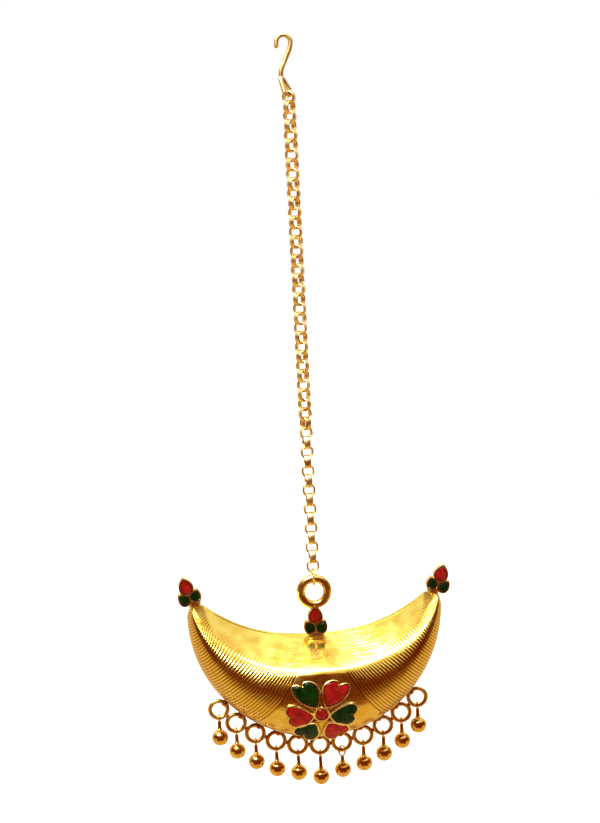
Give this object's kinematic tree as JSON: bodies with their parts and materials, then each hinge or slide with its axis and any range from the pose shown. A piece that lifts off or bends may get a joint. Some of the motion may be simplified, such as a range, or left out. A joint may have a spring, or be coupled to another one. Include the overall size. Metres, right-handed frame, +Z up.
{
  "type": "maang tikka",
  "caption": "Forehead pendant: hair hook and fine link chain carrying a hollow ribbed crescent with an enamel heart flower, three drop settings and a fringe of ball drops.",
  "frame": {"origin": "inside of the hook's crook, the point it hangs from", "axes": "+Z up along the hanging chain, +X to the right seen from the front, -Y the front of the pendant"},
  "size_m": [0.0514, 0.0165, 0.1426],
  "materials": {
    "gold_wire": "polished gold-plated wire",
    "gold_chain": "polished gold-plated round-wire links",
    "gold_link": "polished gold-plated wire ring",
    "gold_body": "bright gold-plated sheet and castings, ribbed front",
    "gold_balls": "bright gold-plated hollow balls",
    "red_enamel": "glossy red enamel",
    "green_enamel": "glossy dark green enamel"
  },
  "bodies": {
    "hook_and_chain": {"hook": "gold_wire", "chain": "gold_chain"},
    "end_link": {"end_link": "gold_link"},
    "pendant": {"crescent_body": "gold_body", "green_heart_upper_left": "green_enamel", "red_heart_upper_right": "red_enamel", "green_heart_right": "green_enamel", "red_heart_lower_right": "red_enamel", "green_heart_lower_left": "green_enamel", "red_heart_left": "red_enamel", "flower_centre_stone": "red_enamel", "crown_red_stone": "red_enamel", "crown_green_left_stone": "green_enamel", "crown_green_right_stone": "green_enamel", "left_tip_red_stone": "red_enamel", "left_tip_green_left_stone": "green_enamel", "left_tip_green_right_stone": "green_enamel", "right_tip_red_stone": "red_enamel", "right_tip_green_left_stone": "green_enamel", "right_tip_green_right_stone": "green_enamel", "ball_drop_01": "gold_balls", "ball_drop_02": "gold_balls", "ball_drop_03": "gold_balls", "ball_drop_04": "gold_balls", "ball_drop_05": "gold_balls", "ball_drop_06": "gold_balls", "ball_drop_07": "gold_balls", "ball_drop_08": "gold_balls", "ball_drop_09": "gold_balls", "ball_drop_10": "gold_balls", "ball_drop_11": "gold_balls"}
  },
  "joints": [
    {"name": "side_swing", "type": "hinge", "parent": "hook_and_chain", "child": "end_link", "pos_m": [0, 0, -0.09953], "axis": [0, 1, 0], "range_deg": [-40, 40]},
    {"name": "front_swing", "type": "hinge", "parent": "end_link", "child": "pendant", "pos_m": [0, 0, -0.10127], "axis": [1, 0, 0], "range_deg": [-70, 70]}
  ]
}
